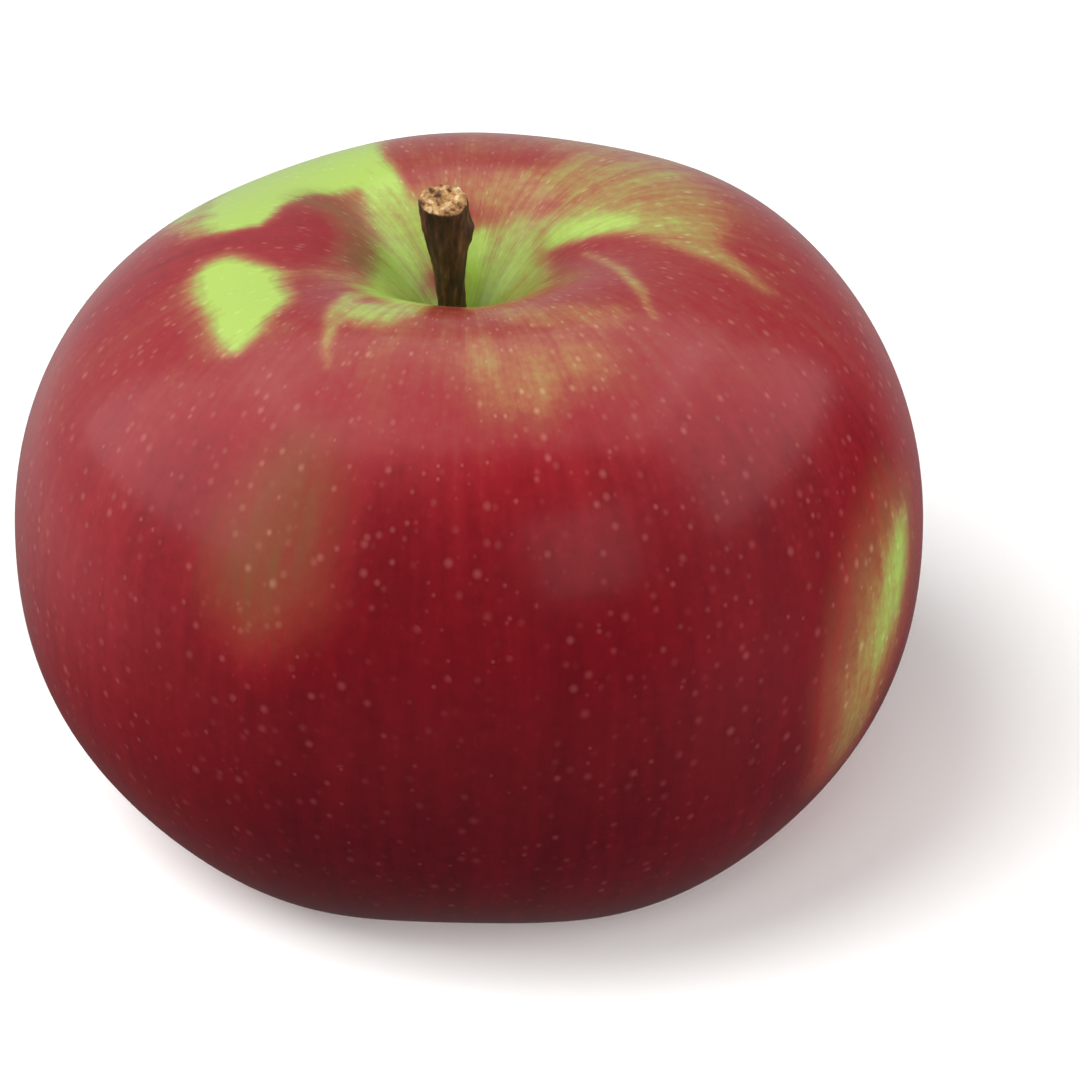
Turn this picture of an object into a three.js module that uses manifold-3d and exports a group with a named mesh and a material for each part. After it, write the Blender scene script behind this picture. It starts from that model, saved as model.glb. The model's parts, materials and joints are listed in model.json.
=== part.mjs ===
// A ripe red apple of a flat, round kind, standing on its base with its stem up.
// Millimetres, +Z up. The origin is on the surface that it stands on, below the middle of its outline.
// Three pieces: the fruit, the woody stem in its cavity, and the dried calyx in the basin underneath.
import * as THREE from "three";
import { mergeVertices } from "three/addons/utils/BufferGeometryUtils.js";
import Module from "manifold-3d";

const wasm = await Module();
wasm.setup();

// The fruit, measured from the core, which is the middle of its widest level
const HALF_WIDTH = 38;
const CROWN_RISE = 31.1; // to where the crown would close over, had it no cavity
const BASE_DROP = 30.3; // to where the base would close, had it no basin
const CROWN_FULLNESS = 2.16; // 2 is an ellipse, more is squarer in the shoulder
const BASE_FULLNESS = 2.3;

// The hollows, each a share of the distance to the skin that is missing,
// falling off with the angle from the axis
const CAVITY = { share: 0.43, spread: 0.4, sharpness: 1.66 };
const THROAT = { share: 0.1, spread: 0.15, sharpness: 1.5 };
const BASIN = { share: 0.285, spread: 0.34, sharpness: 2 };

// How the fruit departs from a turned shape: that many swells round the axis, each this high in
// millimetres and centred on this azimuth in degrees, strongest at this polar angle in radians and
// fading over the spread
const SWELLS = [
  { around: 1, high: 0.87, azimuth: 21, at: Math.PI / 2, spread: 0.8 },
  { around: 2, high: 0.22, azimuth: 67, at: Math.PI / 2, spread: 0.8 },
  { around: 3, high: 0.36, azimuth: 61, at: Math.PI / 2, spread: 0.8 },
  { around: 1, high: 0.6, azimuth: 15, at: 0.62, spread: 0.42 },
  { around: 3, high: 0.22, azimuth: 22, at: 0.62, spread: 0.42 },
  { around: 5, high: 0.3, azimuth: 25, at: 0.62, spread: 0.42 },
  { around: 5, high: 0.55, azimuth: 18, at: 2.5, spread: 0.45 },
];
const SWELLS_START = 0.3; // sine of the angle from the axis where they reach their full height
const REST_DEPTH = 0.45; // how much of the lowest ring its weight and growth have left flat
// The polar angles between which the lowest ring is looked for, and how finely
const REST_SEARCH = { from: 2.2, to: 3, rings: 80, columns: 180 };

// The stem: its radius at shares of its length, from its root in the cavity to the scar where it
// left the spur
const STEM_ROOT = new THREE.Vector3(-0.2, 0, 11.6); // from the core
const STEM_LENGTH = 18.2;
const STEM_RADII = [
  [0, 1.3],
  [0.12, 1.2],
  [0.3, 1.14],
  [0.45, 1.16],
  [0.56, 1.2],
  [0.68, 1.44],
  [0.76, 1.72],
  [0.84, 1.92],
  [0.92, 2.04],
  [0.97, 2.02],
  [1, 1.8],
];
const STEM_LEAN = new THREE.Vector2(-1.35, -0.2); // from its root to its tip
const BUD_SCAR = { high: 0.45, azimuth: 5, at: 0.82, spread: 0.075 };
// Ridges along the stem, at their full height from one radius outwards and kept off the axis by the other
const STEM_RIDGES = { around: 5, high: 0.06, fullFrom: 1, offAxis: 0.5 };
// The broken end: a rim, a dish inside it, and its tilt towards the front, from that share upwards
const END = {
  rim: 0.15,
  rimRadius: 1.45,
  dish: 0.35,
  dishRadius: 0.9,
  tilt: 0.27,
  tiltFrom: 0.7,
};

// The calyx: a woody disc, five sepals that stand round it like a cup, each with a blunt tip, and a
// tuft of dry stamens whose lengths rise and fall by the uneven share, once every few of them
const DISC = { radius: 2.3, proud: 1.3, sunk: 1.7, bevel: 0.4 };
const SEPAL = { count: 5, width: 3.1, thickness: 0.65, cupped: 0.35, turn: 0.3, tip: 0.12, taper: 0.75 };
const SEPAL_PATH = new THREE.QuadraticBezierCurve( // away from the axis and down from the face of the disc
  new THREE.Vector2(1.3, 0),
  new THREE.Vector2(4.1, -0.6),
  new THREE.Vector2(3.5, -3.9),
);
const STAMEN = { count: 10, length: 2.3, radius: 0.32, ring: 0.95, splay: 0.3, uneven: 0.25, beat: 2.4 };

const SOCKET_GAP = 0.3; // between a piece and the hole that it grows from
const POCKET_REACH = 3; // how far a cutting solid goes past the skin

// How finely the faces divide each form
const FRUIT_COLUMNS = 64;
const FRUIT_RINGS = { basin: 14, side: 29, cavity: 20 };
const BASIN_EDGE = 2.5; // polar angles between which the rings are wider apart
const CAVITY_EDGE = 0.7;
const SMALL_COLUMNS = 24; // round the stem, the disc and the pockets
const STEM_RINGS = 26;
const SEPAL_ROWS = 8;
const SEPAL_COLUMNS = 4;
const STAMEN_SIDES = 5;
const WELD = 1e-3; // corners nearer than this are one

// Strength of something centred on a place and fading smoothly away from it.
function fade(distance, spread, sharpness = 2) {
  return Math.exp(-Math.pow(Math.abs(distance) / spread, sharpness));
}

// Distance from the core to the skin, towards this polar angle and azimuth.
function skinDistance(polar, azimuth) {
  const upper = Math.cos(polar) > 0;
  const fullness = upper ? CROWN_FULLNESS : BASE_FULLNESS;
  const across = Math.pow(Math.sin(polar) / HALF_WIDTH, fullness);
  const along = Math.pow(Math.abs(Math.cos(polar)) / (upper ? CROWN_RISE : BASE_DROP), fullness);
  let distance = Math.pow(across + along, -1 / fullness);
  const offAxis = THREE.MathUtils.smoothstep(Math.sin(polar), 0, SWELLS_START);
  for (const s of SWELLS) {
    const turn = s.around * (azimuth - THREE.MathUtils.degToRad(s.azimuth));
    distance += s.high * Math.cos(turn) * fade(polar - s.at, s.spread) * offAxis;
  }
  const missing =
    CAVITY.share * fade(polar, CAVITY.spread, CAVITY.sharpness) +
    THROAT.share * fade(polar, THROAT.spread, THROAT.sharpness) +
    BASIN.share * fade(Math.PI - polar, BASIN.spread, BASIN.sharpness);
  return distance * (1 - missing);
}

// Numbers from one value up to another in even steps.
function steps(from, to, count) {
  return Array.from({ length: count }, (_, i) => from + ((to - from) * i) / count);
}

// A shape turned about +Z from [radius, height] pairs that run upwards, its ends closed on the axis.
function turned(profile, columns = SMALL_COLUMNS) {
  const points = profile.map(([radius, height]) => new THREE.Vector2(radius, height));
  return new THREE.LatheGeometry(points, columns).rotateX(Math.PI / 2);
}

// Moves each vertex of a geometry to where the rule puts it.
function reshape(geometry, rule) {
  const position = geometry.getAttribute("position");
  const vertex = new THREE.Vector3();
  for (let i = 0; i < position.count; i++) {
    rule(vertex.fromBufferAttribute(position, i));
    position.setXYZ(i, vertex.x, vertex.y, vertex.z);
  }
  return geometry;
}

// A geometry as a manifold-3d solid: only positions are kept, and faces that have shrunk to a line
// are left out.
function solidOf(geometry) {
  const bare = new THREE.BufferGeometry();
  bare.setAttribute("position", geometry.getAttribute("position"));
  bare.setIndex(geometry.getIndex());
  const merged = mergeVertices(bare, WELD);
  const corners = merged.getIndex().array;
  const faces = [];
  for (let i = 0; i < corners.length; i += 3) {
    const [a, b, c] = corners.slice(i, i + 3);
    if (a !== b && b !== c && c !== a) faces.push(a, b, c);
  }
  const vertProperties = new Float32Array(merged.getAttribute("position").array);
  return new wasm.Manifold(new wasm.Mesh({ numProp: 3, vertProperties, triVerts: new Uint32Array(faces) }));
}

// A manifold-3d solid as a three.js geometry.
function geometryOf(solid) {
  const mesh = solid.getMesh();
  const geometry = new THREE.BufferGeometry();
  geometry.setAttribute("position", new THREE.BufferAttribute(mesh.vertProperties, 3));
  geometry.setIndex(new THREE.BufferAttribute(mesh.triVerts, 1));
  geometry.computeVertexNormals();
  return geometry;
}

// A round upright pocket, as a solid to cut with.
function pocket(radius, bottom, top, x = 0) {
  const profile = [[0, bottom], [radius, bottom], [radius, top], [0, top]];
  return solidOf(turned(profile).translate(x, 0, 0));
}

// Height of the plane that the fruit rests on: just above its lowest point.
function restHeight() {
  let lowest = 0;
  for (const polar of steps(REST_SEARCH.from, REST_SEARCH.to, REST_SEARCH.rings)) {
    for (const azimuth of steps(0, 2 * Math.PI, REST_SEARCH.columns)) {
      lowest = Math.min(lowest, skinDistance(polar, azimuth) * Math.cos(polar));
    }
  }
  return lowest + REST_DEPTH;
}

const REST = restHeight();
const BASIN_FLOOR = -skinDistance(Math.PI, 0);
const CAVITY_FLOOR = skinDistance(0, 0);

// The fruit: flesh and skin in one, finer where the cavity and the basin turn in.
function fruitSolid() {
  const polars = [
    ...steps(Math.PI, BASIN_EDGE, FRUIT_RINGS.basin),
    ...steps(BASIN_EDGE, CAVITY_EDGE, FRUIT_RINGS.side),
    ...steps(CAVITY_EDGE, 0, FRUIT_RINGS.cavity),
    0,
  ];
  const sphere = turned(polars.map((polar) => [Math.sin(polar), Math.cos(polar)]), FRUIT_COLUMNS);
  const skin = reshape(sphere, (vertex) => {
    const polar = Math.acos(THREE.MathUtils.clamp(vertex.z, -1, 1));
    const distance = skinDistance(polar, Math.atan2(vertex.y, vertex.x));
    vertex.multiplyScalar(distance);
    vertex.z = Math.max(vertex.z, REST);
  });
  const stemRadius = STEM_RADII[0][1] + STEM_RIDGES.high + SOCKET_GAP;
  const stemSocket = pocket(stemRadius, STEM_ROOT.z - SOCKET_GAP, CAVITY_FLOOR + POCKET_REACH, STEM_ROOT.x);
  const calyxSocket = pocket(DISC.radius + SOCKET_GAP, BASIN_FLOOR - POCKET_REACH, BASIN_FLOOR + DISC.sunk);
  return solidOf(skin).subtract(stemSocket).subtract(calyxSocket);
}

// The stem: turned, then ridged, given its bud scar, tilted at its end and leant over.
function stemSolid() {
  const radii = new THREE.SplineCurve(STEM_RADII.map(([share, radius]) => new THREE.Vector2(radius, share)));
  const side = radii.getPoints(STEM_RINGS).map((p) => [p.x, p.y * STEM_LENGTH]);
  const end = [
    [END.rimRadius, STEM_LENGTH + END.rim],
    [END.dishRadius, STEM_LENGTH - END.dish / 2],
    [0, STEM_LENGTH - END.dish],
  ];
  const scarAzimuth = THREE.MathUtils.degToRad(BUD_SCAR.azimuth);
  const stem = reshape(turned([[0, 0], ...side, ...end]), (vertex) => {
    const share = THREE.MathUtils.clamp(vertex.z / STEM_LENGTH, 0, 1);
    const radius = Math.hypot(vertex.x, vertex.y);
    const azimuth = Math.atan2(vertex.y, vertex.x);
    const ridge = STEM_RIDGES.high * Math.cos(STEM_RIDGES.around * azimuth);
    const scarSide = Math.max(0, Math.cos(azimuth - scarAzimuth));
    const swollen = BUD_SCAR.high * fade(share - BUD_SCAR.at, BUD_SCAR.spread) * scarSide * scarSide;
    const push = (ridge + swollen) * Math.min(radius, STEM_RIDGES.fullFrom);
    const outwards = 1 + push / Math.max(radius, STEM_RIDGES.offAxis);
    vertex.z += Math.sin(END.tilt) * vertex.y * THREE.MathUtils.smoothstep(share, END.tiltFrom, 1);
    vertex.x = vertex.x * outwards + STEM_LEAN.x * share;
    vertex.y = vertex.y * outwards + STEM_LEAN.y * share;
  });
  return solidOf(stem.translate(STEM_ROOT.x, STEM_ROOT.y, STEM_ROOT.z));
}

// One sepal: a thin pointed blade along its path, its edges cupped inwards, alike on both faces.
function sepalSolid(azimuth) {
  const flat = new THREE.BoxGeometry(1, 1, SEPAL.thickness, SEPAL_ROWS, SEPAL_COLUMNS);
  const blade = reshape(flat, (vertex) => {
    const share = vertex.x + 0.5;
    const side = vertex.y * 2;
    const at = SEPAL_PATH.getPoint(share);
    const along = SEPAL_PATH.getTangent(share);
    const lift = vertex.z - SEPAL.cupped * side * side * (1 - share);
    const half = (SEPAL.width / 2) * (SEPAL.tip + (1 - SEPAL.tip) * Math.pow(1 - share, SEPAL.taper));
    vertex.set(at.x - along.y * lift, side * half, at.y + along.x * lift);
  });
  blade.translate(0, 0, BASIN_FLOOR - DISC.proud + SEPAL.thickness / 2);
  return solidOf(blade.rotateZ(azimuth));
}

// One dry stamen: a tapering stub that stands out of the disc.
function stamenSolid(azimuth, length) {
  const stub = new THREE.ConeGeometry(STAMEN.radius, length, STAMEN_SIDES);
  stub.rotateX(-Math.PI / 2);
  stub.translate(0, 0, -length / 2);
  stub.rotateY(-STAMEN.splay);
  stub.translate(STAMEN.ring, 0, BASIN_FLOOR - DISC.proud + STAMEN.radius);
  return solidOf(stub.rotateZ(azimuth));
}

// The calyx: everything left of the flower, grown together on its disc.
function calyxSolid() {
  const face = BASIN_FLOOR - DISC.proud;
  const back = BASIN_FLOOR + DISC.sunk - SOCKET_GAP;
  const profile = [
    [0, face],
    [DISC.radius - DISC.bevel, face],
    [DISC.radius, face + DISC.bevel],
    [DISC.radius, back],
    [0, back],
  ];
  let calyx = solidOf(turned(profile));
  for (let i = 0; i < SEPAL.count; i++) {
    calyx = calyx.add(sepalSolid((i / SEPAL.count) * 2 * Math.PI + SEPAL.turn));
  }
  for (let i = 0; i < STAMEN.count; i++) {
    const length = STAMEN.length * (1 + STAMEN.uneven * Math.sin(i * STAMEN.beat));
    calyx = calyx.add(stamenSolid((i / STAMEN.count) * 2 * Math.PI, length));
  }
  return calyx;
}

// A named mesh with its own colour and finish.
function piece(name, solid, color, roughness) {
  const material = new THREE.MeshStandardMaterial({ color, roughness, metalness: 0 });
  const mesh = new THREE.Mesh(geometryOf(solid), material);
  mesh.name = name;
  return mesh;
}

const apple = new THREE.Group();
const fruit = piece("fruit", fruitSolid(), "#96202a", 0.4);
apple.add(fruit);
apple.add(piece("stem", stemSolid(), "#4a2c1a", 0.75));
apple.add(piece("calyx", calyxSolid(), "#5d4c33", 0.9));

// The group is moved so that the fruit stands on z = 0 with the middle of its outline over the origin.
fruit.geometry.computeBoundingBox();
const middle = fruit.geometry.boundingBox.getCenter(new THREE.Vector3());
apple.position.set(-middle.x, -middle.y, -REST);

export default apple;
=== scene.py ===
"""A ripe red apple on a pale floor: the finish of its skin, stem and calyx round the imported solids."""
import json
import math

import bpy
import numpy as np
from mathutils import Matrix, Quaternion, Vector

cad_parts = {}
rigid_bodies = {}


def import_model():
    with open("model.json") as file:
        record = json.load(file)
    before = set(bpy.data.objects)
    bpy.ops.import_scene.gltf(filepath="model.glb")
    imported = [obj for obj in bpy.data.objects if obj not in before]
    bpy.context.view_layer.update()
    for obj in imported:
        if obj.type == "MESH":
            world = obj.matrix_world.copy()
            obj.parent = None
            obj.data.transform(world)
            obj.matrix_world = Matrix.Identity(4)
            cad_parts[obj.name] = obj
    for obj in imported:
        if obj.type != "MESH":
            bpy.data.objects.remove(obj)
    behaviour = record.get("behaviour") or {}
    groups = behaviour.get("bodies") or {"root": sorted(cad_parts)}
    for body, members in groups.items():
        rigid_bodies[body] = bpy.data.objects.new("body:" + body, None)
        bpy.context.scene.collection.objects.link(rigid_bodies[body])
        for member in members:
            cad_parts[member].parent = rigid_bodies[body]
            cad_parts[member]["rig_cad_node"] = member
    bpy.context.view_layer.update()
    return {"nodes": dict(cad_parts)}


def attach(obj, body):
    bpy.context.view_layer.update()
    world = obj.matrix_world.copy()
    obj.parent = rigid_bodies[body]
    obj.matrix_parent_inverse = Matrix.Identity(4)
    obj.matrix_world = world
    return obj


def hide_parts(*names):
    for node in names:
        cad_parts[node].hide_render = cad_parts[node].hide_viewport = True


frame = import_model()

MM = 0.001

# The core is the middle of the fruit's widest level, which everything on the fruit is measured from
CORE = Vector((-0.456, -0.35, 27.66)) * MM

# The photograph's view: its frame is 1080 pixels each way
FRAME_PX = 1080
CORE_PX = Vector((464.1, 520.2))  # where the core lies in the photograph
PX_PER_MM = 12.0  # at the core
CAMERA_DISTANCE = 520 * MM
CAMERA_ELEVATION = math.radians(28)
CAMERA_REACH = (0.01, 20)
SENSOR = 36

# Lights have angles in degrees and sizes in metres. These light the skin alone: a large one on either side,
# a small strong one above, a dim one in front, and three for what a pale floor throws back
LIGHT_DISTANCE = 0.9
SKIN_LIGHTS = {  # azimuth, elevation, width, height, radiance
    "light_left": (-170, 43, 1.35, 1.1, 1.3),
    "light_right": (-2, 38, 1.2, 0.9, 1.5),
    "light_key": (-138, 68, 0.36, 0.36, 7.0),
    "light_front": (-100, 22, 1.5, 0.9, 0.55),
    "bounce_left": (-170, -10, 1.2, 1.0, 0.65),
    "bounce_right": (-5, -14, 1.2, 1.0, 1.8),
    "bounce_front": (-90, -35, 1.4, 1.0, 0.55),
}

# These show in its gloss alone: upright ones left and right, one overhead and a small one in front
GLOSS_PANELS = {  # azimuth, elevation, width, height, radiance, and roll where it stands upright
    "panel_left": (175, 42, 0.85, 0.9, 1.05, 9),
    "panel_right": (12, 45, 0.8, 0.85, 1.1, -10),
    "panel_top": (90, 75, 1.3, 1.1, 1.12),
    "panel_small": (-61, 32, 0.4, 0.46, 0.8),
}

# These light the floor alone: the left one casts the shadow to the right, the front one keeps it pale
FLOOR_SUNS = {  # azimuth, elevation, spread, strength, colour
    "floor_left": (-138, 54, 36, 2.9, "#ffffff"),
    "floor_front": (-88, 26, 50, 3.7, "#fffdfb"),
}
BRIGHT_SIDE = (-0.56, 0.83, 0)  # where the air of the studio is brightest, behind the apple on the left
FLOOR_SIZE = 6  # metres
BACKDROP_RADIUS = 4

# The skin's own sphere: a place on it is so many degrees from the stem to the right and to the back, as seen
# from above, and sizes across it are in millimetres on a sphere of this radius round the core
SKIN_RADIUS = 35.0
STROKE_STEPS = 4  # in how many straight runs a stroke follows the sphere from one of its points to the next


def linear(hex_colour):
    """An sRGB hex colour as the linear RGBA that shaders take."""
    parts = [int(hex_colour[i : i + 2], 16) / 255 for i in (1, 3, 5)]
    return tuple(c / 12.92 if c <= 0.04045 else ((c + 0.055) / 1.055) ** 2.4 for c in parts) + (1.0,)


def add_node(tree, kind, settings=None, links=None, stops=None):
    """Adds a shader node, gives its properties and sockets their values, and links its inputs."""
    made = tree.nodes.new(kind)
    for name, value in (settings or {}).items():
        if isinstance(name, int) or name in made.inputs:
            made.inputs[name].default_value = value
        else:
            setattr(made, name, value)
    for name, source in (links or {}).items():
        tree.links.new(source, made.inputs[name])
    if stops:
        ramp = made.color_ramp.elements
        while len(ramp) < len(stops):
            ramp.new(1.0)
        for element, (place, colour) in zip(ramp, stops):
            element.position = place
            element.color = linear(colour)
    return made


def new_material(name):
    """An empty node material and its node tree."""
    material = bpy.data.materials.new(name)
    material.use_nodes = True
    material.node_tree.nodes.clear()
    return material, material.node_tree


def deselect():
    """Leaves nothing selected, in object mode."""
    if bpy.context.mode != "OBJECT":
        bpy.ops.object.mode_set(mode="OBJECT")
    bpy.ops.object.select_all(action="DESELECT")


def work_on(obj):
    """Makes one object the only one that the operators act on."""
    deselect()
    obj.select_set(True)
    bpy.context.view_layer.objects.active = obj


def pick_vertices(obj, rule):
    """In edit mode, leaves selected just the vertices whose place the rule accepts, and what they span."""
    bpy.ops.mesh.select_mode(type="VERT")
    bpy.ops.mesh.select_all(action="DESELECT")
    bpy.ops.object.mode_set(mode="OBJECT")
    for vertex in obj.data.vertices:
        vertex.select = bool(rule(vertex.co))
    bpy.ops.object.mode_set(mode="EDIT")


def add_camera():
    """Looks along +Y and down, aimed so that the core lies where the photograph shows it."""
    along = Vector((0, math.cos(CAMERA_ELEVATION), -math.sin(CAMERA_ELEVATION)))
    up = Vector((0, math.sin(CAMERA_ELEVATION), math.cos(CAMERA_ELEVATION)))
    eye = CORE - along * CAMERA_DISTANCE
    aside = (Vector((FRAME_PX / 2, FRAME_PX / 2)) - CORE_PX) * (MM / PX_PER_MM)
    aim = CORE + Vector((aside.x, 0, 0)) - up * aside.y
    bpy.ops.object.camera_add(location=eye, rotation=(aim - eye).to_track_quat("-Z", "Y").to_euler())
    camera = bpy.context.object
    camera.name = "camera"
    camera.data.sensor_width = SENSOR
    camera.data.lens = SENSOR * PX_PER_MM * (CAMERA_DISTANCE / MM) / FRAME_PX
    camera.data.clip_start, camera.data.clip_end = CAMERA_REACH
    bpy.context.scene.camera = camera


def toward(azimuth, elevation):
    """The unit vector to an azimuth and an elevation in degrees."""
    a, e = math.radians(azimuth), math.radians(elevation)
    return Vector((math.cos(e) * math.cos(a), math.cos(e) * math.sin(a), math.sin(e)))


def add_softbox(name, azimuth, elevation, width, height, radiance, roll=None):
    """A soft light that faces the apple, or that stands upright and is rolled by so many degrees."""
    aim = toward(azimuth, elevation if roll is None else 0)
    turn = (-aim).to_track_quat("-Z", "Y") @ Quaternion((0, 0, 1), math.radians(roll or 0))
    place = CORE + toward(azimuth, elevation) * LIGHT_DISTANCE
    bpy.ops.object.light_add(type="AREA", location=place, rotation=turn.to_euler())
    light = bpy.context.object
    light.name = name
    light.data.shape = "RECTANGLE"
    light.data.size = width
    light.data.size_y = height
    light.data.energy = radiance * math.pi * width * height
    light.visible_camera = False
    return light


def add_sun(name, azimuth, elevation, spread, strength, colour):
    """Even light from far away, with shadows as soft as its spread in degrees."""
    turn = (-toward(azimuth, elevation)).to_track_quat("-Z", "Y")
    place = CORE + toward(azimuth, elevation)
    bpy.ops.object.light_add(type="SUN", location=place, rotation=turn.to_euler())
    light = bpy.context.object
    light.name = name
    light.data.energy = strength
    light.data.angle = math.radians(spread)
    light.data.color = linear(colour)[:3]
    light.visible_glossy = False
    return light


def light_only(name, lights, state, floor):
    """Ties lights to the floor: EXCLUDE makes them leave it out, INCLUDE makes them light nothing else."""
    receivers = bpy.data.collections.new(name)
    receivers.objects.link(floor)
    receivers.collection_objects[0].light_linking.link_state = state
    for light in lights:
        light.light_linking.receiver_collection = receivers


def add_lights(floor):
    """A tent of soft light, open towards the camera, as the photograph's reflections and shadow show it."""
    skin_lights = [add_softbox(name, *setting) for name, setting in SKIN_LIGHTS.items()]
    for light in skin_lights:
        light.visible_glossy = False
    for name, setting in GLOSS_PANELS.items():
        add_softbox(name, *setting).visible_diffuse = False
    suns = [add_sun(name, *setting) for name, setting in FLOOR_SUNS.items()]
    light_only("all_but_floor", skin_lights, "EXCLUDE", floor)
    light_only("floor_alone", suns, "INCLUDE", floor)


def add_air():
    """The air of the studio: bright behind the apple, on the left, dark on the camera's side and low down."""
    world = bpy.data.worlds.new("studio_air")
    bpy.context.scene.world = world
    world.use_nodes = True
    tree = world.node_tree
    tree.nodes.clear()
    direction = add_node(tree, "ShaderNodeTexCoord").outputs["Generated"]
    parts = add_node(tree, "ShaderNodeSeparateXYZ", links={0: direction})
    side = add_node(tree, "ShaderNodeVectorMath", {"operation": "DOT_PRODUCT", 1: BRIGHT_SIDE},
                    {0: direction})
    # A glow from behind that stops below the horizon, and a faint one from straight down
    behind = add_node(tree, "ShaderNodeMapRange", {"From Max": 0.8, "To Max": 0.46},
                      {"Value": side.outputs["Value"]})
    above = add_node(tree, "ShaderNodeMapRange", {"From Min": -0.55, "From Max": -0.25},
                     {"Value": parts.outputs["Z"]})
    below = add_node(tree, "ShaderNodeMapRange", {"From Min": -0.1, "From Max": -0.5, "To Max": 0.08},
                     {"Value": parts.outputs["Z"]})
    glow = add_node(tree, "ShaderNodeMath", {"operation": "MULTIPLY_ADD"},
                    {0: behind.outputs[0], 1: above.outputs[0], 2: below.outputs[0]})
    air = add_node(tree, "ShaderNodeBackground", {"Color": linear("#ffffff")}, {"Strength": glow.outputs[0]})
    add_node(tree, "ShaderNodeOutputWorld", links={"Surface": air.outputs[0]})


def add_stage():
    """A pale floor and a pale backdrop round it. The apple's gloss and its underside don't see them."""
    deselect()
    bpy.ops.mesh.primitive_plane_add(size=FLOOR_SIZE)
    floor = bpy.context.object
    floor.name = "studio_floor"
    # Matt paper, white all over and without a gloss
    material, tree = new_material("matte_paper_sweep")
    shader = add_node(tree, "ShaderNodeBsdfPrincipled", {
        "Base Color": linear("#f0f0ef"), "Roughness": 0.9, "Specular IOR Level": 0.1,
        "Emission Color": linear("#ffffff"), "Emission Strength": 0.08})
    add_node(tree, "ShaderNodeOutputMaterial", links={"Surface": shader.outputs[0]})
    floor.data.materials.append(material)
    bpy.ops.mesh.primitive_uv_sphere_add(segments=48, ring_count=24, radius=BACKDROP_RADIUS)
    backdrop = bpy.context.object
    backdrop.name = "studio_backdrop"
    # A backdrop lit so evenly that it shows as plain white
    material, tree = new_material("lit_white_backdrop")
    shader = add_node(tree, "ShaderNodeEmission", {"Color": linear("#fefefe"), "Strength": 1.0})
    add_node(tree, "ShaderNodeOutputMaterial", links={"Surface": shader.outputs[0]})
    backdrop.data.materials.append(material)
    for stage in (floor, backdrop):
        stage.visible_diffuse = False
        stage.visible_glossy = False
        stage.visible_transmission = False
        stage.visible_shadow = False
    return floor


def off_axis(place):
    """How far a place is from the fruit's axis, in millimetres."""
    return math.hypot(place.x - CORE.x, place.y - CORE.y) / MM


# The two sockets that the skin closes over: which side of the core each is on, how far from the axis its
# walls are taken out, its rim's radius, and the rings that follow inwards, each (radius, step towards the
# core), all in millimetres
STEM_SOCKET = (1, 2.3, 2.6, [(1.9, 1.1), (1.15, 1.6), (0.5, 1.8)])
CALYX_SOCKET = (-1, 2.7, 3.0, [(2.3, 0.1), (1.4, 0.5), (0.6, 0.4)])


def close_socket(skin, side, cut_radius, rim_radius, rings):
    """Takes out a socket's walls and runs the skin on from its rim, ring after ring, to a point."""
    pick_vertices(skin, lambda co: off_axis(co) < cut_radius and (co.z - CORE.z) * side > 0)
    bpy.ops.mesh.delete(type="VERT")
    bpy.ops.mesh.select_all(action="DESELECT")
    bpy.ops.mesh.select_mode(type="EDGE")
    bpy.ops.mesh.select_non_manifold(extend=False, use_wire=False, use_boundary=True, use_multi_face=False,
                                     use_non_contiguous=False, use_verts=False)
    radius = rim_radius
    for next_radius, step in rings:
        bpy.ops.mesh.extrude_edges_move()
        share = next_radius / radius
        bpy.ops.transform.resize(value=(share, share, 1), center_override=(CORE.x, CORE.y, 0))
        bpy.ops.transform.translate(value=(0, 0, -side * step * MM))
        radius = next_radius
    bpy.ops.mesh.merge(type="CENTER")


def skin_directions(mesh):
    """Each vertex's direction from the core, its polar angle and its azimuth."""
    places = np.empty(len(mesh.vertices) * 3)
    mesh.vertices.foreach_get("co", places)
    offsets = (places.reshape(-1, 3) - np.array(CORE)) / MM
    directions = offsets / np.linalg.norm(offsets, axis=1)[:, None]
    polar = np.arccos(np.clip(directions[:, 2], -1, 1))
    azimuth = np.arctan2(directions[:, 1], directions[:, 0])
    return directions, polar, azimuth


def on_sphere(right, back):
    """The place on the skin's own sphere that lies so many degrees to the right of the stem and behind it."""
    polar, azimuth = math.radians(math.hypot(right, back)), math.atan2(back, right)
    across = math.sin(polar)
    return SKIN_RADIUS * np.array([across * math.cos(azimuth), across * math.sin(azimuth), math.cos(polar)])


def smooth(low, high, values):
    """0 below low, 1 above high, and an S between."""
    t = np.clip((values - low) / (high - low), 0, 1)
    return t * t * (3 - 2 * t)


def stroke_mask(directions, points, edge):
    """How much of a soft brush stroke covers each vertex. Its points are (right, back, half width)."""
    places = directions * SKIN_RADIUS
    inside = np.full(len(places), -np.inf)
    stations = []
    for start, end in zip(points, points[1:] or points):
        run = np.array(end) - np.array(start)
        stations += [start + run * step / STROKE_STEPS for step in range(STROKE_STEPS)]
    stations.append(np.array(points[-1]))
    for start, end in zip(stations, stations[1:]):
        a, b = on_sphere(start[0], start[1]), on_sphere(end[0], end[1])
        run = b - a
        share = np.clip((places - a) @ run / max(run @ run, 1e-9), 0, 1)
        width = start[2] + (end[2] - start[2]) * share
        inside = np.maximum(inside, width - np.linalg.norm(places - a - share[:, None] * run, axis=1))
    return smooth(-edge / 2, edge / 2, inside)


def paint(directions, base, strokes):
    """Lays soft strokes over a base, one after another. Each is (level, cover, edge, points)."""
    level = base.copy()
    for aim, cover, edge, points in strokes:
        mask = stroke_mask(directions, points, edge) * cover
        level = level * (1 - mask) + aim * mask
    return level


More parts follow.
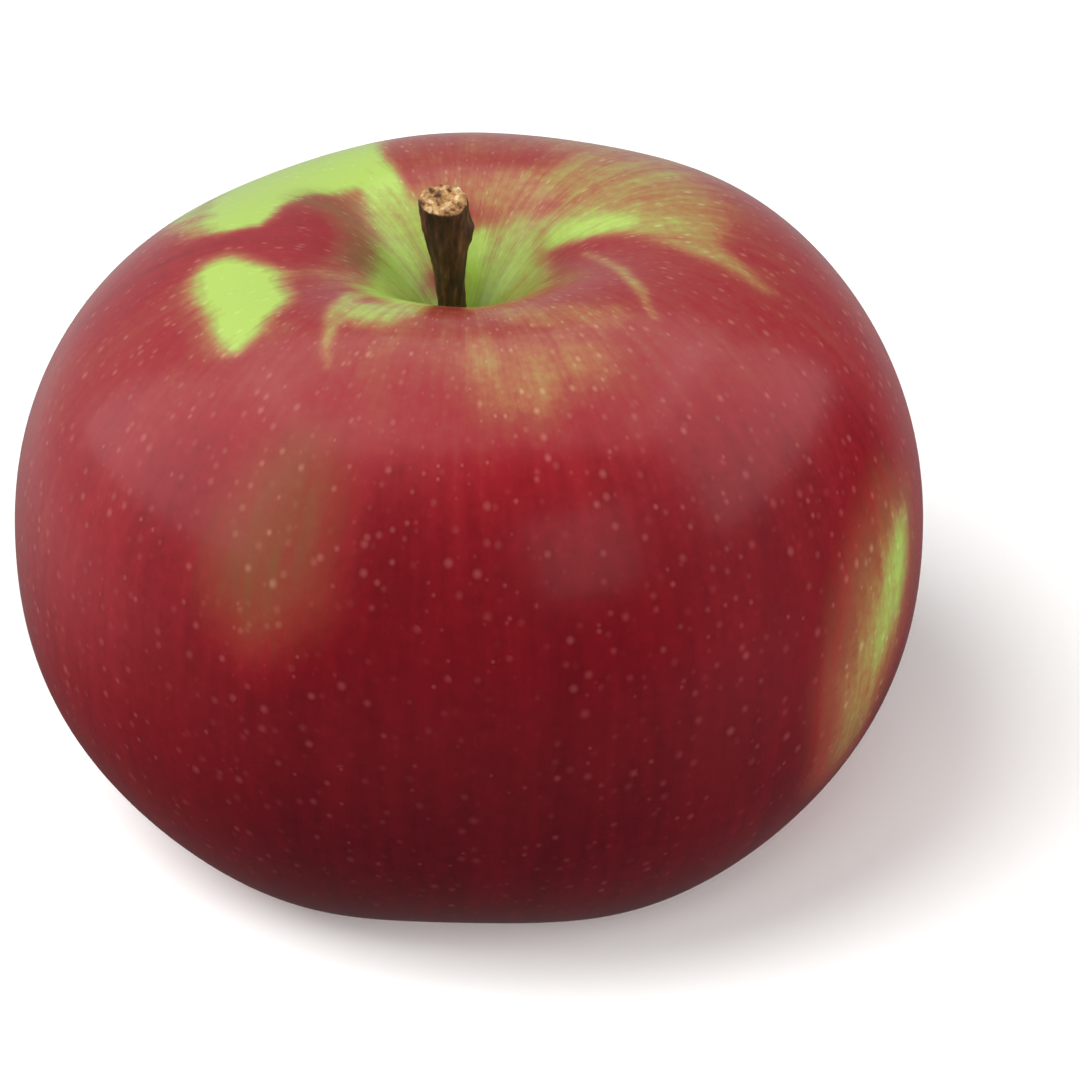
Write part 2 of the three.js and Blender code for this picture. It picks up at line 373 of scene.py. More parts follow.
# The blush, from 0 for bare ground colour to 1 for the deepest crimson. Each stroke is its level, how fully
# it covers, how soft its edge is in millimetres, and its points: degrees from the stem to the right and to
# the back, as seen from above, and half width in millimetres
BLUSH_STROKES = [
    # the front of the lip, orange with gold mottling
    (0.6, 0.85, 6.0, [(-14, -36, 3.0), (-4, -31, 5.0), (10, -30, 6.5), (20, -32, 4.5)]),
    (0.45, 0.9, 5.0, [(4, -40, 2.8), (8, -43, 3.6), (16, -39, 2.6)]),
    (0.42, 0.75, 3.0, [(6, -27, 1.4), (15, -29, 1.8), (22, -28, 1.2)]),
    # the back right, tan, then gold further round, with an olive lower edge that leaves in a streak
    (0.48, 0.95, 5.0, [(18, 41, 5.0), (25, 32, 6.0), (33, 21, 4.5), (38, 9, 3.0)]),
    (0.39, 0.95, 4.5, [(9, 22, 2.2), (19, 22, 3.6), (27, 16, 5.2), (31, 8, 4.6), (35, 1, 3.0)]),
    (0.64, 0.5, 4.0, [(36, 26, 1.5), (44, 8, 2.5), (46, -4, 1.5)]),
    (0.32, 0.8, 2.6, [(20, 10, 2.0), (28, 5.5, 2.2), (33, 0, 2.1), (38, -5, 1.5), (45, -10, 0.6)]),
    # the pale throat and walls of the cavity, and where they run out over the lip
    (0.06, 1.0, 3.0, [(-2, 0, 5.5), (2, 2, 5.5)]),
    (0.24, 1.0, 4.0, [(-10, -13, 4.0), (0, -14, 4.2), (8, -10, 4.0), (12, -2, 3.0)]),
    (0.2, 0.9, 4.0, [(9, 9, 2.4), (12, 4, 2.6), (12, -1, 2.2)]),
    (0.42, 0.8, 5.0, [(-19, 18, 2.6), (-20, 10, 2.4), (-20, 0, 2.4), (-19, -10, 2.4)]),
    (0.12, 1.0, 3.4, [(-11, 15, 3.0), (-14, 7, 3.0), (-14.5, -3, 2.8), (-13.5, -13, 3.0), (-9, -20, 2.4)]),
    (0.24, 0.9, 3.5, [(-8, 19, 2.0), (-14, 17, 2.2), (-17, 11, 1.6)]),
    (0.2, 0.95, 3.6, [(-17, -25, 2.1), (-13, -27, 2.3), (-9, -25.5, 1.3)]),
    (0.28, 0.9, 1.6, [(-18.5, -18, 1.3), (-20, -26, 0.8), (-20.5, -33, 0.4), (-20, -38, 0.1)]),
    (0.08, 1.0, 2.8, [(2, 14, 2.4), (7, 12, 2.6), (10, 9, 2.0)]),
    (0.26, 0.9, 3.0, [(9, 14, 2.6), (15, 11, 2.2), (20, 8, 1.8)]),
    (0.1, 0.95, 2.2, [(18, 7.5, 1.1), (22, 6, 1.7), (26, 4.5, 1.3)]),
    (0.3, 0.8, 3.2, [(11, 2, 1.6), (14, -5, 1.6), (16, -11, 1.4)]),
    # the bare crown on the left of the back, and its tan borders
    (0.0, 1.0, 2.6, [(-17, 44, 4.4), (-17, 37, 3.0), (-18, 30, 3.6), (-26, 26, 4.8), (-33, 20, 4.6),
                     (-35.5, 12, 3.9), (-35.5, 9.5, 3.3)]),
    (0.0, 1.0, 5.0, [(-24, 44, 5.0), (-36, 30, 5.0), (-41, 20, 3.0)]),
    (0.34, 0.85, 3.4, [(-40, 27, 1.0), (-41.5, 20, 1.5), (-42, 13, 1.6), (-40.5, 7, 1.2)]),
    (0.42, 0.9, 9.0, [(-12, 54, 3.0), (-24, 55, 4.0), (-38, 44, 3.0)]),
    (0.05, 1.0, 2.2, [(-15, 28, 2.6), (-13.5, 23, 2.2)]),
    (0.22, 0.9, 3.0, [(-12, 19, 2.4), (-9, 15, 2.2)]),
    # the red hook from the left, round into the cavity
    (0.78, 1.0, 2.2, [(-54, 1, 5.5), (-45, 0.6, 3.0), (-37, 0.8, 2.6), (-29, 1.2, 3.4), (-26, 6, 3.4),
                      (-24.5, 11, 3.2), (-23.5, 14.5, 2.4)]),
    (0.6, 0.8, 3.0, [(-20.5, 15, 1.6), (-19.5, 10, 1.6), (-20, 3, 1.4), (-21, -3, 1.2)]),
    # the round window on the left shoulder, smooth above and ragged below
    (0.46, 0.75, 3.2, [(-42, -9, 1.4), (-40, -17, 1.7), (-37, -26, 1.6), (-29, -27, 1.2)]),
    (0.44, 0.7, 2.5, [(-29, -10, 1.2), (-20, -7, 1.3)]),
    (0.14, 0.9, 2.4, [(-39, -12, 1.0), (-37.5, -19, 1.2), (-34.5, -26, 1.2)]),
    (0.0, 1.0, 3.4, [(-38, -6.5, 2.3), (-35.5, -11, 3.3), (-33, -18, 3.0), (-33.5, -23, 1.8),
                     (-34.5, -28, 0.5)]),
    # behind the stem, red on the left and orange on the right
    (0.63, 1.0, 3.4, [(-5.5, 46, 4.4), (-5, 38, 4.3), (-5, 32, 4.2)]),
    (0.58, 0.9, 4.0, [(7, 48, 5.0), (7, 39, 3.8), (5, 33, 2.6)]),
    (0.45, 0.95, 3.6, [(-5, 22.5, 1.6), (2, 23.5, 2.2), (9, 23, 2.4)]),
    # the thin pale arc on the right of the lip
    (0.36, 0.9, 1.2, [(21.6, -1, 0.15), (24, -7, 0.45), (25.8, -13, 0.6), (27, -20, 0.6), (28.4, -27, 0.2)]),
    # the olive cheek on the left of the front, in several streaks
    (0.68, 0.85, 7.0, [(-23, -46, 2.0), (-27, -55, 4.4), (-32, -63, 5.2), (-35, -69, 3.0)]),
    (0.6, 0.6, 3.0, [(-30, -52, 0.5), (-34, -60, 1.0), (-37, -67, 0.4)]),
    (0.58, 0.65, 3.0, [(-26, -53, 0.6), (-29.5, -62, 1.2), (-31.5, -69, 0.5)]),
    (0.6, 0.6, 3.0, [(-21, -53, 0.5), (-24, -61, 1.0), (-25.5, -67, 0.4)]),
    # the bare patch at the right edge, gold round green
    (0.5, 0.95, 6.0, [(76, -23, 1.4), (76.5, -32, 4.6), (77.5, -41, 5.8), (80.5, -49, 5.4), (87, -57, 3.2)]),
    (0.38, 0.85, 4.0, [(77, -27, 1.6), (78, -36, 3.4), (81, -45, 3.6), (87, -54, 2.4)]),
    (0.18, 0.9, 3.0, [(76.5, -25, 0.9), (78, -33, 2.1), (79.5, -39, 2.3), (82, -45, 1.2)]),
]

# Where thin pigment lies over the ground colour and both together look dull, written like the blush, with 1
# for the dullest
DULL_STROKES = [
    # the cheek, the inner side of the hook and the right wall of the cavity
    (0.6, 1.0, 7.0, [(-24, -51, 2.0), (-27, -56, 4.0), (-32, -63, 4.8), (-34, -67, 2.5)]),
    (0.85, 1.0, 3.5, [(-25, 16.5, 2.0), (-20.5, 15.5, 2.2), (-18.5, 8, 1.6), (-20, 0, 1.4)]),
    (0.4, 1.0, 4.0, [(15, -3, 1.6), (17, -8, 2.0), (17, -13, 1.6)]),
    # round the patch at the right edge, and not in it
    (0.5, 1.0, 5.0, [(76, -23, 3.0), (76.5, -32, 6.5), (77.5, -41, 7.6), (80.5, -49, 7.0), (87, -57, 4.6)]),
    (0.0, 1.0, 4.0, [(76.5, -26, 0.8), (77.5, -34, 2.6), (79.5, -42, 3.2), (83, -49, 2.6)]),
]

# The blush before the strokes, and what deepens it on the front and lower down and lightens it in the basin.
# Each range says where that starts and where it is in full: DOWN is in degrees from the stem, and ROUND is
# the cosine of the angle away from the deepest side
BLUSH = 0.73
FRONT_BLUSH = 0.17
FRONT_DOWN = (46, 72)
FRONT_ROUND = (-0.05, 0.95)
LOWER_BLUSH = 0.08
LOWER_DOWN = (70, 110)
LOWER_ROUND = (-0.6, 0.6)
BASIN_PALING = 0.2
BASIN_DOWN = (148, 168)
DEEPEST_AZIMUTH = math.radians(-75)
CAVITY_LIP = (14, 24)  # degrees from the stem over which the cavity's darker green and painted shade give way to the crown's


def blush_base(polar, azimuth):
    """The blush before the strokes: deepest on the front below the shoulder, lighter left and back."""
    down = np.degrees(polar)
    front = np.cos(azimuth - DEEPEST_AZIMUTH)
    level = BLUSH + FRONT_BLUSH * smooth(*FRONT_DOWN, down) * smooth(*FRONT_ROUND, front)
    level += LOWER_BLUSH * smooth(*LOWER_DOWN, down) * smooth(*LOWER_ROUND, front)
    level -= BASIN_PALING * smooth(*BASIN_DOWN, down)
    return level


def paint_skin(skin):
    """Gives the skin its painted fields, and the seamless place that streaks along the meridians read."""
    directions, polar, azimuth = skin_directions(skin.data)
    fields = {
        "blush": paint(directions, blush_base(polar, azimuth), BLUSH_STROKES),
        "dull": paint(directions, np.zeros(len(polar)), DULL_STROKES),
        "cavity": 1 - smooth(*CAVITY_LIP, np.degrees(polar)),
    }
    attributes = skin.data.attributes
    for name, values in fields.items():
        attributes.new(name, "FLOAT", "POINT").data.foreach_set("value", values.astype(np.float32))
    meridian = np.stack([np.cos(azimuth), np.sin(azimuth), polar], axis=1).astype(np.float32)
    attributes.new("meridian", "FLOAT_VECTOR", "POINT").data.foreach_set("vector", meridian.ravel())


def waxed_apple_skin():
    """Thin waxed skin: a clear gloss over pigment in fine streaks, with pale breathing pores."""
    material, tree = new_material("waxed_apple_skin")
    blush, dull, cavity = [
        add_node(tree, "ShaderNodeAttribute", {"attribute_name": name}).outputs["Fac"]
        for name in ("blush", "dull", "cavity")]
    meridian = add_node(tree, "ShaderNodeAttribute", {"attribute_name": "meridian"}).outputs["Vector"]
    place = add_node(tree, "ShaderNodeTexCoord").outputs["Object"]

    # Streaks about 1.3 mm wide and 10 mm long, and broader ones of 5 mm that run half way down
    fine_along = add_node(tree, "ShaderNodeVectorMath", {"operation": "MULTIPLY", 1: (1, 1, 0.13)},
                          {0: meridian})
    fine = add_node(tree, "ShaderNodeTexNoise", {"Scale": 30, "Detail": 3, "Roughness": 0.6},
                    {"Vector": fine_along.outputs[0]})
    broad_along = add_node(tree, "ShaderNodeVectorMath", {"operation": "MULTIPLY", 1: (1, 1, 0.18)},
                           {0: meridian})
    broad = add_node(tree, "ShaderNodeTexNoise", {"Scale": 8, "Detail": 2, "Roughness": 0.5},
                     {"Vector": broad_along.outputs[0]})
    # Mottling of about a millimetre, with finer specks in it
    mottle = add_node(tree, "ShaderNodeTexNoise", {"Scale": 900, "Detail": 3, "Roughness": 0.65},
                      {"Vector": place})
    streaks = add_node(tree, "ShaderNodeMath", {"operation": "ADD"},
                       {0: fine.outputs["Fac"], 1: broad.outputs["Fac"]})
    pattern = add_node(tree, "ShaderNodeMath", {"operation": "ADD"},
                       {0: streaks.outputs[0], 1: mottle.outputs["Fac"]})
    # Where pigment is half there, the streaks and the mottling show most. The pattern swings about 1.5
    depth = add_node(tree, "ShaderNodeMapRange",
                     {"From Min": 0.95, "From Max": 0.45, "To Min": 0.09, "To Max": 0.3}, {"Value": blush})
    swing = add_node(tree, "ShaderNodeMath", {"operation": "SUBTRACT", 1: 1.5}, {0: pattern.outputs[0]})
    level = add_node(tree, "ShaderNodeMath", {"operation": "MULTIPLY_ADD"},
                     {0: swing.outputs[0], 1: depth.outputs[0], 2: blush})
    # From the bare ground colour through gold, tan and orange red to the deepest crimson
    pigment = add_node(tree, "ShaderNodeValToRGB", links={"Fac": level.outputs[0]}, stops=[
        (0.08, "#b2d35f"), (0.22, "#a8b456"), (0.36, "#a8874b"), (0.5, "#a65e3d"), (0.62, "#9c3d31"),
        (0.76, "#9a1c26"), (0.88, "#82101b"), (1.0, "#5e0a15")])
    # Half-covered skin is a dull olive brown in streaks
    streaked = add_node(tree, "ShaderNodeMapRange", {"From Min": 0.3, "From Max": 0.65, "To Min": 0.3},
                        {"Value": fine.outputs["Fac"]})
    dulling = add_node(tree, "ShaderNodeMath", {"operation": "MULTIPLY"}, {0: dull, 1: streaked.outputs[0]})
    olive = add_node(tree, "ShaderNodeMix", {"data_type": "RGBA", 7: linear("#7e5c34")},
                     {0: dulling.outputs[0], 6: pigment.outputs["Color"]})
    # In the cavity the colour is made darker and greener than on the crown: partly the ground's own darker
    # green, partly painted shade of the hollow
    cavity_green_and_shade = add_node(tree, "ShaderNodeMix",
                     {"data_type": "RGBA", "blend_type": "MULTIPLY", 7: linear("#e8ebcc")},
                     {0: cavity, 6: olive.outputs[2]})
    # Breathing pores: soft dots of up to 0.7 mm, some 1.5 mm apart, uneven in size and strength, cream on the
    # bare skin and rosy on the deep red. They are spaced along the meridians, so that they crowd and lengthen
    # towards the stem, as on a grown apple
    pores = add_node(tree, "ShaderNodeTexVoronoi", {"Scale": 31, "Randomness": 1.0}, {"Vector": meridian})
    luck = add_node(tree, "ShaderNodeSeparateColor", links={0: pores.outputs["Color"]})
    size = add_node(tree, "ShaderNodeMapRange", {"To Min": 0.2, "To Max": 0.5}, {"Value": luck.outputs[1]})
    dot = add_node(tree, "ShaderNodeMapRange", {"interpolation_type": "SMOOTHSTEP", "From Max": 0.0},
                   {"Value": pores.outputs["Distance"], "From Min": size.outputs[0]})
    strength = add_node(tree, "ShaderNodeMapRange", {"From Min": 0.1, "To Min": 0.03, "To Max": 0.5},
                        {"Value": luck.outputs[0]})
    fleck = add_node(tree, "ShaderNodeMath", {"operation": "MULTIPLY"},
                     {0: dot.outputs[0], 1: strength.outputs[0]})
    fleck_colour = add_node(tree, "ShaderNodeValToRGB", links={"Fac": blush}, stops=[
        (0.3, "#dcdf9a"), (0.6, "#d6a07a"), (0.8, "#c46a64"), (1.0, "#9c3c44")])
    dotted = add_node(tree, "ShaderNodeMix", {"data_type": "RGBA"},
                      {0: fleck.outputs[0], 6: cavity_green_and_shade.outputs[2], 7: fleck_colour.outputs["Color"]})
    # A faint unevenness of about a millimetre, under a clear wax that takes a rosy tint from the skin
    grain = add_node(tree, "ShaderNodeTexNoise", {"Scale": 900, "Detail": 2}, {"Vector": place})
    bump = add_node(tree, "ShaderNodeBump", {"Strength": 0.12, "Distance": 0.0001},
                    {"Height": grain.outputs["Fac"]})
    shader = add_node(tree, "ShaderNodeBsdfPrincipled", {
        "Roughness": 0.27, "IOR": 1.45, "Specular Tint": (1.0, 0.8, 0.78, 1.0),
        "Coat Weight": 0.2, "Coat Roughness": 0.14, "Coat IOR": 1.4,
        "Subsurface Weight": 0.06, "Subsurface Radius": (1.0, 0.4, 0.2), "Subsurface Scale": 0.0015,
    }, {"Base Color": dotted.outputs[2], "Normal": bump.outputs[0]})
    add_node(tree, "ShaderNodeOutputMaterial", links={"Surface": shader.outputs[0]})
    return material


SKIN_WELD = 2e-6  # metres within which corners of the solid's facets are one
QUAD_FACE = math.radians(40)  # how far two triangles may fold and lean and still make one four-sided face
QUAD_SHAPE = math.radians(60)


def make_skin():
    """The fruit's skin: the solid's own surface, run in to the stem and the calyx, made fine and painted."""
    work_on(frame["nodes"]["fruit"])
    bpy.ops.object.duplicate(linked=False)
    skin = bpy.context.object
    skin.name = skin.data.name = "apple_skin"
    del skin["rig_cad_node"]  # the copy isn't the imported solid
    bpy.ops.object.mode_set(mode="EDIT")
    bpy.ops.mesh.select_all(action="SELECT")
    bpy.ops.mesh.remove_doubles(threshold=SKIN_WELD)
    close_socket(skin, *STEM_SOCKET)
    close_socket(skin, *CALYX_SOCKET)
    bpy.ops.mesh.select_all(action="SELECT")
    bpy.ops.mesh.tris_convert_to_quads(face_threshold=QUAD_FACE, shape_threshold=QUAD_SHAPE)
    bpy.ops.object.mode_set(mode="OBJECT")
    subdivide(skin, 2)
    paint_skin(skin)
    return skin


def dry_bark():
    """Dry woody bark: brown, matt, ridged along its length, with a pale broken end."""
    material, tree = new_material("dry_stem_bark")
    place = add_node(tree, "ShaderNodeTexCoord").outputs["Object"]
    end = add_node(tree, "ShaderNodeAttribute", {"attribute_name": "broken_end"}).outputs["Fac"]
    # Fibres 0.4 mm wide run along the stem
    along = add_node(tree, "ShaderNodeVectorMath", {"operation": "MULTIPLY", 1: (1, 1, 0.22)}, {0: place})
    fibre = add_node(tree, "ShaderNodeTexNoise", {"Scale": 1500, "Detail": 4, "Roughness": 0.6},
                     {"Vector": along.outputs[0]})
    brown = add_node(tree, "ShaderNodeValToRGB", links={"Fac": fibre.outputs["Fac"]}, stops=[
        (0.32, "#21120a"), (0.5, "#3f2414"), (0.62, "#5e3b20"), (0.78, "#8a6436")])
    # The broken end is pale pith with dark specks of about half a millimetre, and its palest cream flecks are
    # painted glints
    pith_and_glints = add_node(tree, "ShaderNodeTexNoise", {"Scale": 950, "Detail": 3, "Roughness": 0.65},
                    {"Vector": place})
    pale = add_node(tree, "ShaderNodeValToRGB", links={"Fac": pith_and_glints.outputs["Fac"]}, stops=[
        (0.36, "#503014"), (0.46, "#a67440"), (0.56, "#cea468"), (0.68, "#f2e4c0")])
    bark = add_node(tree, "ShaderNodeMix", {"data_type": "RGBA"},
                    {0: end, 6: brown.outputs["Color"], 7: pale.outputs["Color"]})
    bump = add_node(tree, "ShaderNodeBump", {"Strength": 0.6, "Distance": 0.00015},
                    {"Height": fibre.outputs["Fac"]})
    shader = add_node(tree, "ShaderNodeBsdfPrincipled", {"Roughness": 0.62, "IOR": 1.5},
                      {"Base Color": bark.outputs[2], "Normal": bump.outputs[0]})
    add_node(tree, "ShaderNodeOutputMaterial", links={"Surface": shader.outputs[0]})
    return material


def roughen(obj, name, size, strength, stretch=(1, 1, 1), group=""):
    """Moves a surface in and out by a cloudy pattern of that size and strength, in millimetres."""
    clouds = bpy.data.textures.new(name, "CLOUDS")
    clouds.noise_scale = size * MM
    clouds.noise_depth = 2
    guide = bpy.data.objects.new(name, None)
    bpy.context.collection.objects.link(guide)
    guide.scale = stretch
    bpy.context.view_layer.update()
    work_on(obj)
    rough = obj.modifiers.new(name, "DISPLACE")
    rough.texture = clouds
    rough.texture_coords = "OBJECT"
    rough.texture_coords_object = guide
    rough.strength = strength * MM
    rough.mid_level = 0.5
    rough.vertex_group = group
    bpy.ops.object.modifier_apply(modifier=name)
    bpy.data.objects.remove(guide)
    bpy.data.textures.remove(clouds)


def subdivide(obj, levels):
    """Makes a mesh fine by subdivision, applied, and shades it smooth."""
    work_on(obj)
    fine = obj.modifiers.new("fine", "SUBSURF")
    fine.levels = fine.render_levels = levels
    bpy.ops.object.modifier_apply(modifier="fine")
    bpy.ops.object.shade_smooth()


def dress(piece, node_name, material):
    """Gives a finished piece its material, hides the imported solid that it stands for and ties it to the
    root body.
    """
    work_on(piece)
    bpy.ops.object.transform_apply(location=True, rotation=True, scale=True)
    piece.data.name = piece.name
    piece.data.materials.clear()
    piece.data.materials.append(material)
    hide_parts(node_name)
    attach(piece, "root")


# The stem, from its root in the cavity to its broken end, in millimetres. A station is a share of its length
# and its radius there
STEM_ROOT = CORE + Vector((-0.2, 0, 11.6)) * MM
STEM_RISE = Vector((-1.35, -0.2, 18.2)) * MM  # from its root to its tip
STEM_ROOT_RADIUS = 1.3
STEM_SIDES = 18
STEM_STATIONS = [(0.12, 1.2), (0.3, 1.14), (0.45, 1.16), (0.56, 1.2), (0.68, 1.42), (0.76, 1.7), (0.84, 1.9),
                 (0.9, 2.04), (0.95, 2.1), (0.985, 2.04)]
END_RINGS = [(1.7, 0.16), (1.35, -0.12), (0.9, -0.16), (0.4, 0.06)]  # radius and step up, from the rim in
END_TILT = math.radians(15)  # of the broken end, towards the front
TILT_LEVELS = (0.8, 0.88, 0.93)  # shares of its length above which it tilts a third each
SCAR_AT = 0.82  # the bud scar's share of its length, distance from its axis, reach and height
SCAR_OUT = 1.9
SCAR_REACH = 1.0
SCAR_HIGH = 0.65
END_OPEN = (0.6, 1.4)  # how open to the end's side a place must be to start and to finish being broken end
END_ROUGH = 1.2  # and to be roughened


def make_stem():
    """The woody stem: ring after ring run up from its root, its end broken off, a bud scar on its side."""
    deselect()
    bpy.ops.mesh.primitive_circle_add(vertices=STEM_SIDES, radius=STEM_ROOT_RADIUS * MM, fill_type="NGON",
                                      location=STEM_ROOT)
    stem = bpy.context.object
    stem.name = "apple_stem"
    bpy.ops.object.transform_apply(location=True, rotation=True, scale=True)
    bpy.ops.object.mode_set(mode="EDIT")
    bpy.ops.mesh.select_all(action="SELECT")
    radius = STEM_ROOT_RADIUS
    share = 0
    for next_share, next_radius in STEM_STATIONS:
        step = STEM_RISE * (next_share - share)
        bpy.ops.mesh.extrude_region_move(TRANSFORM_OT_translate={"value": step})
        centre = STEM_ROOT + STEM_RISE * next_share
        scale = next_radius / radius
        bpy.ops.transform.resize(value=(scale, scale, 1), center_override=centre)
        radius = next_radius
        share = next_share
    for next_radius, step in END_RINGS:
        bpy.ops.mesh.extrude_region_move(TRANSFORM_OT_translate={"value": (0, 0, step * MM)})
        scale = next_radius / radius
        bpy.ops.transform.resize(value=(scale, scale, 1), center_override=centre)
        radius = next_radius
    for above in TILT_LEVELS:
        level = STEM_ROOT.z + STEM_RISE.z * above
        pick_vertices(stem, lambda co: co.z > level)
        bpy.ops.transform.rotate(value=-END_TILT / len(TILT_LEVELS), orient_axis="X", center_override=centre)
    scar = STEM_ROOT + STEM_RISE * SCAR_AT + Vector((SCAR_OUT, 0, 0)) * MM
    pick_vertices(stem, lambda co: (co - scar).length < SCAR_REACH * MM)
    bpy.ops.transform.translate(value=(SCAR_HIGH * MM, 0, 0))
    bpy.ops.object.mode_set(mode="OBJECT")
    subdivide(stem, 3)
    roughen(stem, "bark_ridges", 0.8, 0.34, stretch=(1, 1, 6))
    roughen(stem, "bark_knots", 1.6, 0.3)
    break_end(stem, centre)
    dress(stem, "stem", dry_bark())


def break_end(stem, centre):
    """Marks the broken end, for the material to tell it from the bark, and roughens it with torn fibres."""
    facing = Vector((0, -math.sin(END_TILT), math.cos(END_TILT)))
    openness = [(v.co - centre).dot(facing) / MM + 2 * v.normal.dot(facing) for v in stem.data.vertices]
    end = stem.vertex_groups.new(name="end")
    end.add([i for i, value in enumerate(openness) if value > END_ROUGH], 1.0, "REPLACE")
    broken = stem.data.attributes.new("broken_end", "FLOAT", "POINT")
    broken.data.foreach_set("value", smooth(*END_OPEN, np.array(openness)).astype(np.float32))
    roughen(stem, "broken_fibres", 0.45, 0.55, group="end")
    stem.vertex_groups.clear()


def dry_calyx():
    """Dried flower remains: thin, brittle, brown tissue."""
    material, tree = new_material("dried_sepal_tissue")
    place = add_node(tree, "ShaderNodeTexCoord").outputs["Object"]
    # Folds about a millimetre apart
    fold = add_node(tree, "ShaderNodeTexNoise", {"Scale": 900, "Detail": 4, "Roughness": 0.6},
                    {"Vector": place})
    brown = add_node(tree, "ShaderNodeValToRGB", links={"Fac": fold.outputs["Fac"]}, stops=[
        (0.3, "#33261a"), (0.5, "#5d4a32"), (0.65, "#85704c"), (0.8, "#a8966c")])
    bump = add_node(tree, "ShaderNodeBump", {"Strength": 0.5, "Distance": 0.0001},
                    {"Height": fold.outputs["Fac"]})
    shader = add_node(tree, "ShaderNodeBsdfPrincipled", {"Roughness": 0.8, "IOR": 1.45},
                      {"Base Color": brown.outputs["Color"], "Normal": bump.outputs[0]})
    add_node(tree, "ShaderNodeOutputMaterial", links={"Surface": shader.outputs[0]})
    return material


# The calyx hangs from the floor of the basin, and its sizes are in millimetres
CALYX_FACE = CORE + Vector((0, 0, -22.96)) * MM
CALYX_TURN = 0.3  # of the first sepal about the axis, in radians
DISC_SIDES = 20
DISC_RADIUS = 2.3
DISC_DEPTH = 2.6
DISC_RIM = 0.3
DISC_DISH = (0.6, -0.35)  # how far inside the rim, and how deep

# A sepal's stations: away from the axis, down, half width
SEPALS = 5
SEPAL_STATIONS = [(1.7, 0.05, 1.5), (2.7, 0.25, 1.45), (3.3, 0.9, 1.35), (3.6, 1.7, 1.1), (3.65, 2.5, 0.75),
                  (3.5, 3.2, 0.4), (3.3, 3.75, 0.12)]
SEPAL_ROOT_LENGTH = 0.6
SEPAL_THICKNESS = 0.35
SEPAL_CURL = 0.45  # how far its edges move inwards
CURL_FROM = (0.55, 0.5)  # how far from its middle line, and how far down, the edges curl

# A stamen's root, and its steps: away from the axis, down, and how much wider it gets
STAMENS = 12
STAMEN_SIDES = 6
STAMEN_RADIUS = 0.16
STAMEN_ROOT = CALYX_FACE + Vector((1.0, 0, 0.5)) * MM
STAMEN_STEPS = [(0.05, 0.9, 0.8), (0.2, 0.8, 0.8), (0.3, 0.7, 1.0), (0.12, 0.15, 1.9), (0.05, 0.4, 1.1),
                (0.0, 0.2, 0.4)]
STAMEN_STRAY = 0.25  # how far from its even place, as a share of the space between two
STAMEN_BEAT = 5


def turn_about_axis(angle):
    """Turns what is selected about the fruit's axis. The operator turns the other way."""
    bpy.ops.transform.rotate(value=-angle, orient_axis="Z", center_override=(CORE.x, CORE.y, 0))


def turned_copy(piece, name, angle):
    """A copy of a piece, with its own mesh, turned about the fruit's axis."""
    work_on(piece)
    bpy.ops.object.duplicate(linked=False)
    copy = bpy.context.object
    copy.name = name
    turn_about_axis(angle)
    bpy.ops.object.transform_apply(location=True, rotation=True, scale=True)
    return copy


def make_disc():
    """The woody disc that the sepals and stamens stand on, rimmed and a little dished."""
    deselect()
    middle = CALYX_FACE + Vector((0, 0, DISC_DEPTH / 2)) * MM
    bpy.ops.mesh.primitive_cylinder_add(vertices=DISC_SIDES, radius=DISC_RADIUS * MM, depth=DISC_DEPTH * MM,
                                        location=middle)
    disc = bpy.context.object
    disc.name = "calyx_disc"
    bpy.ops.object.transform_apply(location=True, rotation=True, scale=True)
    bpy.ops.object.mode_set(mode="EDIT")
    pick_vertices(disc, lambda co: co.z < middle.z)
    bpy.ops.mesh.inset(thickness=DISC_RIM * MM)
    bpy.ops.mesh.inset(thickness=DISC_DISH[0] * MM, depth=DISC_DISH[1] * MM)
    bpy.ops.object.mode_set(mode="OBJECT")
    subdivide(disc, 3)
    roughen(disc, "disc_knots", 0.7, 0.25)
    return disc


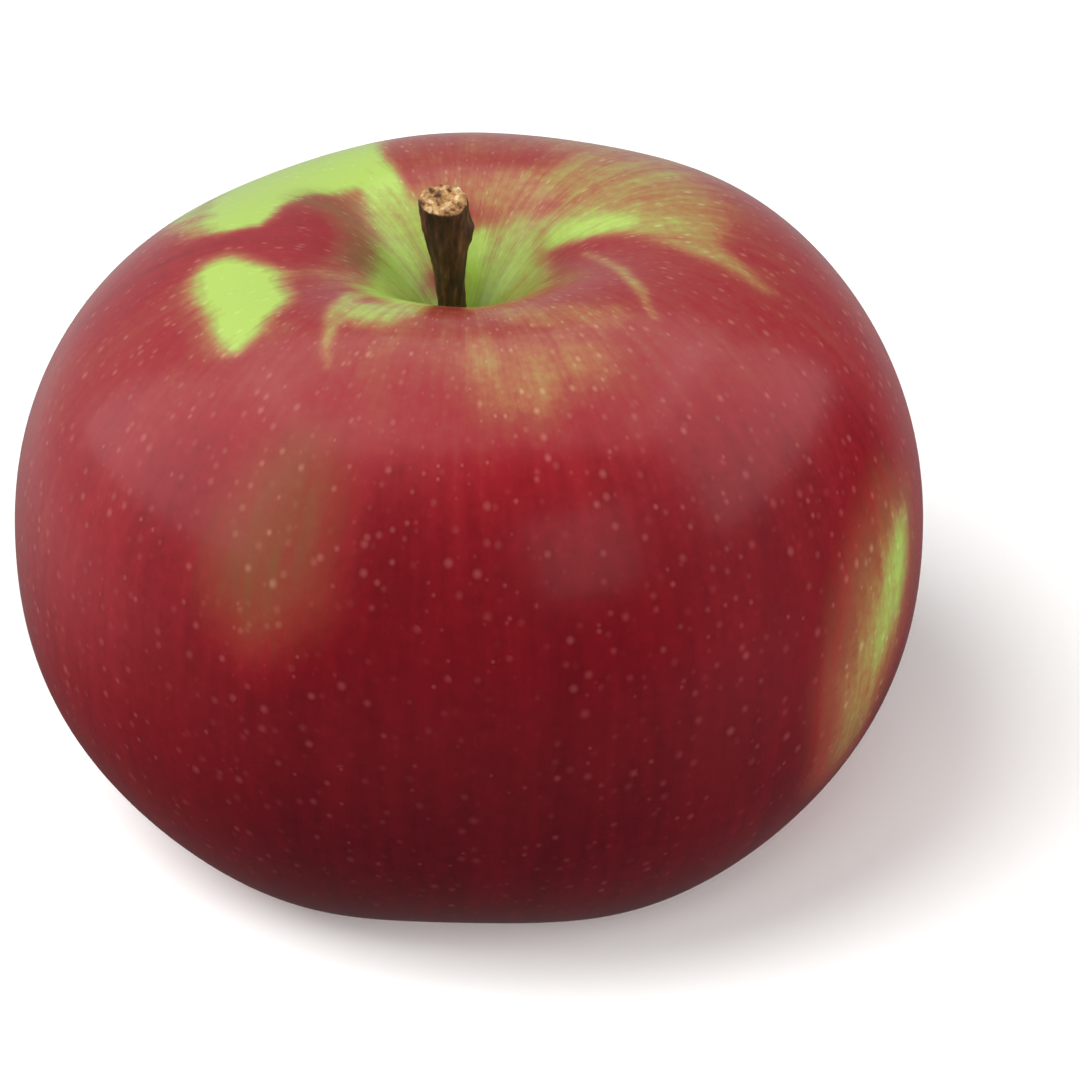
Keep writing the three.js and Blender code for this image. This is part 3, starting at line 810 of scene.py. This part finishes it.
def make_sepal():
    """One dry sepal: a strip run out along its path, narrowing, cupped, given its thickness and wrinkled."""
    deselect()
    out, down, half = SEPAL_STATIONS[0]
    root = CALYX_FACE + Vector((out - SEPAL_ROOT_LENGTH / 2, 0, -down)) * MM
    bpy.ops.mesh.primitive_grid_add(x_subdivisions=1, y_subdivisions=4, size=1, location=root)
    sepal = bpy.context.object
    sepal.name = "calyx_sepal_1"
    sepal.scale = (SEPAL_ROOT_LENGTH * MM, 2 * half * MM, 1)
    bpy.ops.object.transform_apply(location=True, rotation=True, scale=True)
    bpy.ops.object.mode_set(mode="EDIT")
    pick_vertices(sepal, lambda co: co.x > root.x)
    for next_out, next_down, next_half in SEPAL_STATIONS[1:]:
        step = Vector((next_out - out, 0, down - next_down)) * MM
        bpy.ops.mesh.extrude_edges_move(TRANSFORM_OT_translate={"value": step})
        bpy.ops.transform.resize(value=(1, next_half / half, 1), center_override=CALYX_FACE)
        out, down, half = next_out, next_down, next_half
    aside, below = CURL_FROM
    for side in (-1, 1):
        pick_vertices(sepal, lambda co: (co.y - CALYX_FACE.y) * side > aside * MM
                      and co.z < CALYX_FACE.z - below * MM)
        bpy.ops.transform.translate(value=(-SEPAL_CURL * MM, 0, 0))
    bpy.ops.object.mode_set(mode="OBJECT")
    thick = sepal.modifiers.new("thick", "SOLIDIFY")
    thick.thickness = SEPAL_THICKNESS * MM
    bpy.ops.object.modifier_apply(modifier="thick")
    subdivide(sepal, 3)
    roughen(sepal, "sepal_wrinkles", 0.9, 0.35)
    return sepal


def make_stamen():
    """One dry stamen: a thin thread with a shrivelled head."""
    deselect()
    bpy.ops.mesh.primitive_circle_add(vertices=STAMEN_SIDES, radius=STAMEN_RADIUS * MM, fill_type="NGON",
                                      location=STAMEN_ROOT)
    stamen = bpy.context.object
    stamen.name = "calyx_stamen_1"
    bpy.ops.object.transform_apply(location=True, rotation=True, scale=True)
    bpy.ops.object.mode_set(mode="EDIT")
    bpy.ops.mesh.select_all(action="SELECT")
    centre = STAMEN_ROOT
    for out, down, scale in STAMEN_STEPS:
        step = Vector((out, 0, -down)) * MM
        centre = centre + step
        bpy.ops.mesh.extrude_region_move(TRANSFORM_OT_translate={"value": step})
        bpy.ops.transform.resize(value=(scale, scale, 1), center_override=centre)
    bpy.ops.mesh.select_all(action="SELECT")
    bpy.ops.mesh.normals_make_consistent(inside=False)
    bpy.ops.object.mode_set(mode="OBJECT")
    subdivide(stamen, 1)
    return stamen


def make_calyx():
    """Everything left of the flower: the disc, the sepals round it and a tuft of stamens."""
    tissue = dry_calyx()
    disc = make_disc()
    sepal = make_sepal()
    sepals = [turned_copy(sepal, f"calyx_sepal_{i + 1}", 2 * math.pi * i / SEPALS + CALYX_TURN)
              for i in range(1, SEPALS)]
    stamen = make_stamen()
    places = [(i + STAMEN_STRAY * math.sin(STAMEN_BEAT * i)) / STAMENS for i in range(1, STAMENS)]
    stamens = [turned_copy(stamen, f"calyx_stamen_{i + 2}", 2 * math.pi * place)
               for i, place in enumerate(places)]
    work_on(sepal)
    turn_about_axis(CALYX_TURN)
    for piece in [disc, *sepals, *stamens, stamen, sepal]:
        dress(piece, "calyx", tissue)


add_camera()
add_lights(add_stage())
add_air()
skin = make_skin()
dress(skin, "fruit", waxed_apple_skin())
make_stem()
make_calyx()

bpy.context.scene.view_settings.view_transform = "Standard"
